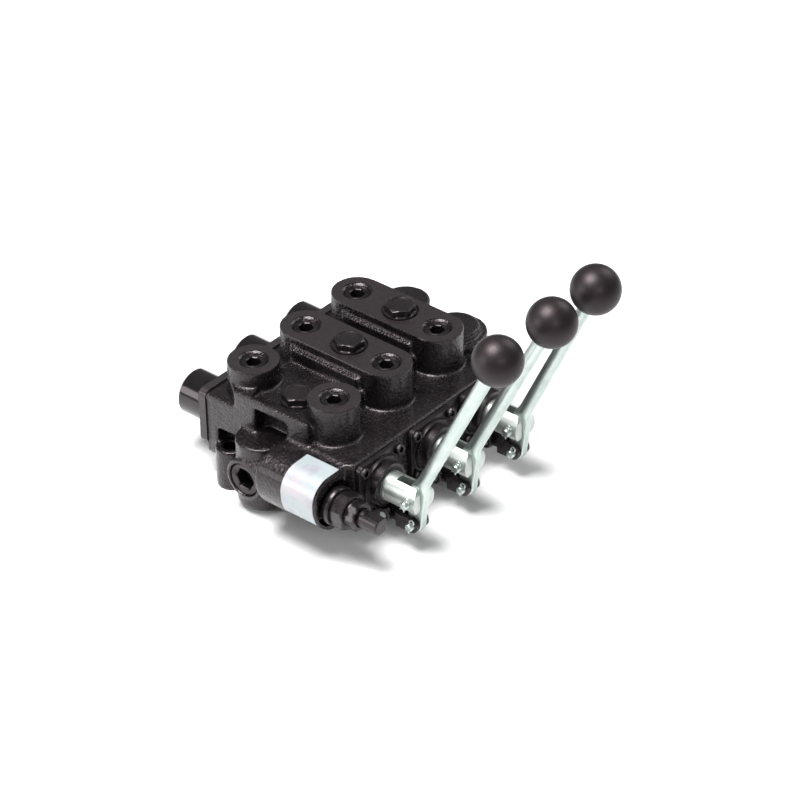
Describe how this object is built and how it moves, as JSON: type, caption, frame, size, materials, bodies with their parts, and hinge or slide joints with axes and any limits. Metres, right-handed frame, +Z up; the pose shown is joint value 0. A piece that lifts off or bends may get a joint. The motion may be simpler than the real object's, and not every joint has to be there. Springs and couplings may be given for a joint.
{
  "type": "hydraulic monoblock control valve",
  "caption": "Cast monoblock directional control valve with a row of hand-lever spools, top work ports, side inlet and an adjustable relief valve.",
  "frame": {"origin": "centre of the mounting face, under the middle spool section and midway between its two work ports", "axes": "+X along the row of sections from the inlet end to the outlet end, -Y towards the levers, +Z up out of the mounting face"},
  "size_m": [0.2195, 0.2903, 0.1986],
  "materials": {
    "black_casting": "black enamel over rough cast iron",
    "black_parts": "satin black paint",
    "gloss_black_caps": "gloss black paint",
    "port_plugs": "dark oiled steel",
    "black_screws": "black oxide",
    "zinc": "bright zinc plate",
    "ground_steel": "ground and plated",
    "spring_steel": "oiled spring wire",
    "phenolic_black": "satin gloss phenolic",
    "label_foil": "blank satin foil",
    "seal_rubber": "matt"
  },
  "bodies": {
    "valve": {"valve_body": "black_casting", "work_port_plugs": "port_plugs", "side_port_plugs": "port_plugs", "load_check_plugs": "black_parts", "relief_cartridge": "black_parts", "relief_lock_nut": "black_parts", "data_plate": "label_foil", "seal_retainer_1": "black_parts", "seal_retainer_2": "black_parts", "seal_retainer_3": "black_parts", "retainer_screws": "black_screws", "wiper_seals": "seal_rubber", "rear_cap_1": "gloss_black_caps", "rear_cap_2": "gloss_black_caps", "rear_cap_3": "gloss_black_caps", "cap_screws": "black_screws", "anchor_pins": "zinc", "load_check_spring_1": "spring_steel", "load_check_spring_2": "spring_steel", "load_check_spring_3": "spring_steel"},
    "spool_1": {"spool_1": "ground_steel", "centering_spring_1": "spring_steel", "spring_seats_1": "ground_steel", "spool_end_screw_1": "ground_steel"},
    "lever_1": {"lever_1": "zinc", "knob_1": "phenolic_black", "clevis_pin_1": "zinc", "link_pin_1": "zinc", "pin_cotters_1": "zinc"},
    "fork_link_1": {"fork_link_1": "black_parts"},
    "load_check_1": {"load_check_poppet_1": "ground_steel"},
    "spool_2": {"spool_2": "ground_steel", "centering_spring_2": "spring_steel", "spring_seats_2": "ground_steel", "spool_end_screw_2": "ground_steel"},
    "lever_2": {"lever_2": "zinc", "knob_2": "phenolic_black", "clevis_pin_2": "zinc", "link_pin_2": "zinc", "pin_cotters_2": "zinc"},
    "fork_link_2": {"fork_link_2": "black_parts"},
    "load_check_2": {"load_check_poppet_2": "ground_steel"},
    "spool_3": {"spool_3": "ground_steel", "centering_spring_3": "spring_steel", "spring_seats_3": "ground_steel", "spool_end_screw_3": "ground_steel"},
    "lever_3": {"lever_3": "zinc", "knob_3": "phenolic_black", "clevis_pin_3": "zinc", "link_pin_3": "zinc", "pin_cotters_3": "zinc"},
    "fork_link_3": {"fork_link_3": "black_parts"},
    "load_check_3": {"load_check_poppet_3": "ground_steel"},
    "relief_follower": {"relief_spring_follower": "ground_steel", "relief_spring": "spring_steel"},
    "relief_screw": {"relief_adjusting_screw": "black_parts"},
    "relief_poppet": {"relief_poppet": "ground_steel"}
  },
  "joints": [
    {"name": "spool_slide_1", "type": "slide", "parent": "valve", "child": "spool_1", "axis": [0, 1, 0], "range_m": [-0.008, 0.008], "stiffness_N_per_m": 4000},
    {"name": "lever_swing_1", "type": "hinge", "parent": "spool_1", "child": "lever_1", "pos_m": [-0.054, -0.107, 0.041], "axis": [1, 0, 0], "range_deg": [-23.5, 23.5]},
    {"name": "link_swing_1", "type": "hinge", "parent": "lever_1", "child": "fork_link_1", "pos_m": [-0.054, -0.107, 0.0205], "axis": [1, 0, 0], "range_deg": [-23.5, 23.5]},
    {"name": "load_check_lift_1", "type": "slide", "parent": "valve", "child": "load_check_1", "axis": [0, 0, 1], "range_m": [0, 0.003], "stiffness_N_per_m": 600, "deforming": ["load_check_spring_1"]},
    {"name": "spool_slide_2", "type": "slide", "parent": "valve", "child": "spool_2", "axis": [0, 1, 0], "range_m": [-0.008, 0.008], "stiffness_N_per_m": 4000},
    {"name": "lever_swing_2", "type": "hinge", "parent": "spool_2", "child": "lever_2", "pos_m": [0, -0.107, 0.041], "axis": [1, 0, 0], "range_deg": [-23.5, 23.5]},
    {"name": "link_swing_2", "type": "hinge", "parent": "lever_2", "child": "fork_link_2", "pos_m": [0, -0.107, 0.0205], "axis": [1, 0, 0], "range_deg": [-23.5, 23.5]},
    {"name": "load_check_lift_2", "type": "slide", "parent": "valve", "child": "load_check_2", "axis": [0, 0, 1], "range_m": [0, 0.003], "stiffness_N_per_m": 600, "deforming": ["load_check_spring_2"]},
    {"name": "spool_slide_3", "type": "slide", "parent": "valve", "child": "spool_3", "axis": [0, 1, 0], "range_m": [-0.008, 0.008], "stiffness_N_per_m": 4000},
    {"name": "lever_swing_3", "type": "hinge", "parent": "spool_3", "child": "lever_3", "pos_m": [0.054, -0.107, 0.041], "axis": [1, 0, 0], "range_deg": [-23.5, 23.5]},
    {"name": "link_swing_3", "type": "hinge", "parent": "lever_3", "child": "fork_link_3", "pos_m": [0.054, -0.107, 0.0205], "axis": [1, 0, 0], "range_deg": [-23.5, 23.5]},
    {"name": "load_check_lift_3", "type": "slide", "parent": "valve", "child": "load_check_3", "axis": [0, 0, 1], "range_m": [0, 0.003], "stiffness_N_per_m": 600, "deforming": ["load_check_spring_3"]},
    {"name": "relief_follower_slide", "type": "slide", "parent": "valve", "child": "relief_follower", "axis": [0, 1, 0], "range_m": [-0.001, 0.001]},
    {"name": "relief_screw_turn", "type": "hinge", "parent": "relief_follower", "child": "relief_screw", "pos_m": [-0.091, -0.09, 0.0382], "axis": [0, 1, 0], "range_deg": [-365, 365]},
    {"name": "relief_poppet_lift", "type": "slide", "parent": "valve", "child": "relief_poppet", "axis": [0, -1, 0], "range_m": [0, 0.002], "stiffness_N_per_m": 2000, "deforming": ["relief_spring"]}
  ],
  "couplings": [
    {"joint": "lever_swing_1", "follows": "spool_slide_1", "rad_per_m": -50.1},
    {"joint": "link_swing_1", "follows": "spool_slide_1", "rad_per_m": 50.1},
    {"joint": "lever_swing_2", "follows": "spool_slide_2", "rad_per_m": -50.1},
    {"joint": "link_swing_2", "follows": "spool_slide_2", "rad_per_m": 50.1},
    {"joint": "lever_swing_3", "follows": "spool_slide_3", "rad_per_m": -50.1},
    {"joint": "link_swing_3", "follows": "spool_slide_3", "rad_per_m": 50.1},
    {"joint": "relief_screw_turn", "follows": "relief_follower_slide", "rad_per_m": 6283.2}
  ]
}
